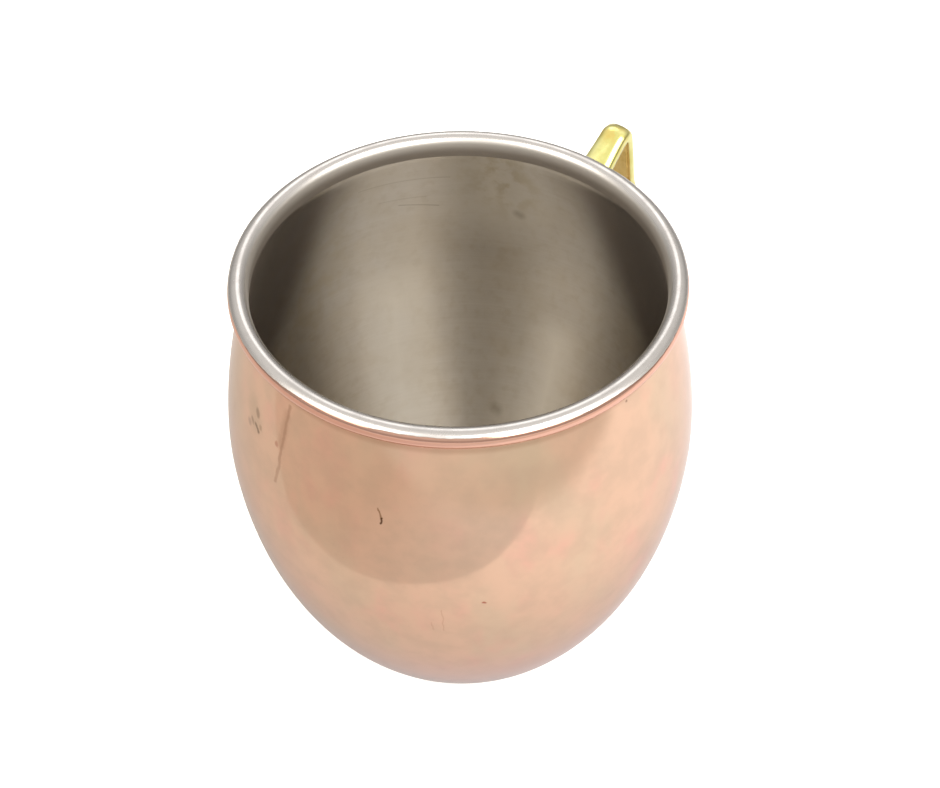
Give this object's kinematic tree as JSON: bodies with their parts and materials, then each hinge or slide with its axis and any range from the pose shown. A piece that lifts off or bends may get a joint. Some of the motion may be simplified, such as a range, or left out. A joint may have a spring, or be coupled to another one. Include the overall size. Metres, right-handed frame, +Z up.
{
  "type": "copper mug",
  "caption": "Barrel-shaped copper drinking mug with a steel liner folded over its rolled rim and a brazed brass strap handle.",
  "frame": {"origin": "centre of the flat base's resting face, on the bowl's axis", "axes": "+Z up along the bowl's axis; +X out through the middle of the handle; the mug is mirror-symmetric about the XZ plane"},
  "size_m": [0.1166, 0.0936, 0.0925],
  "materials": {
    "copper": "polished copper, lightly tarnished, with fine handling scratches",
    "stainless_steel": "satin steel brushed round the inside, polished on the lip",
    "brass": "polished lemon-yellow brass",
    "braze_filler": "dull braze filler metal, wiped smooth"
  },
  "bodies": {
    "root": {"copper_body": "copper", "steel_liner": "stainless_steel", "brass_handle": "brass", "upper_braze_joint": "braze_filler", "lower_braze_joint": "braze_filler"}
  },
  "joints": []
}
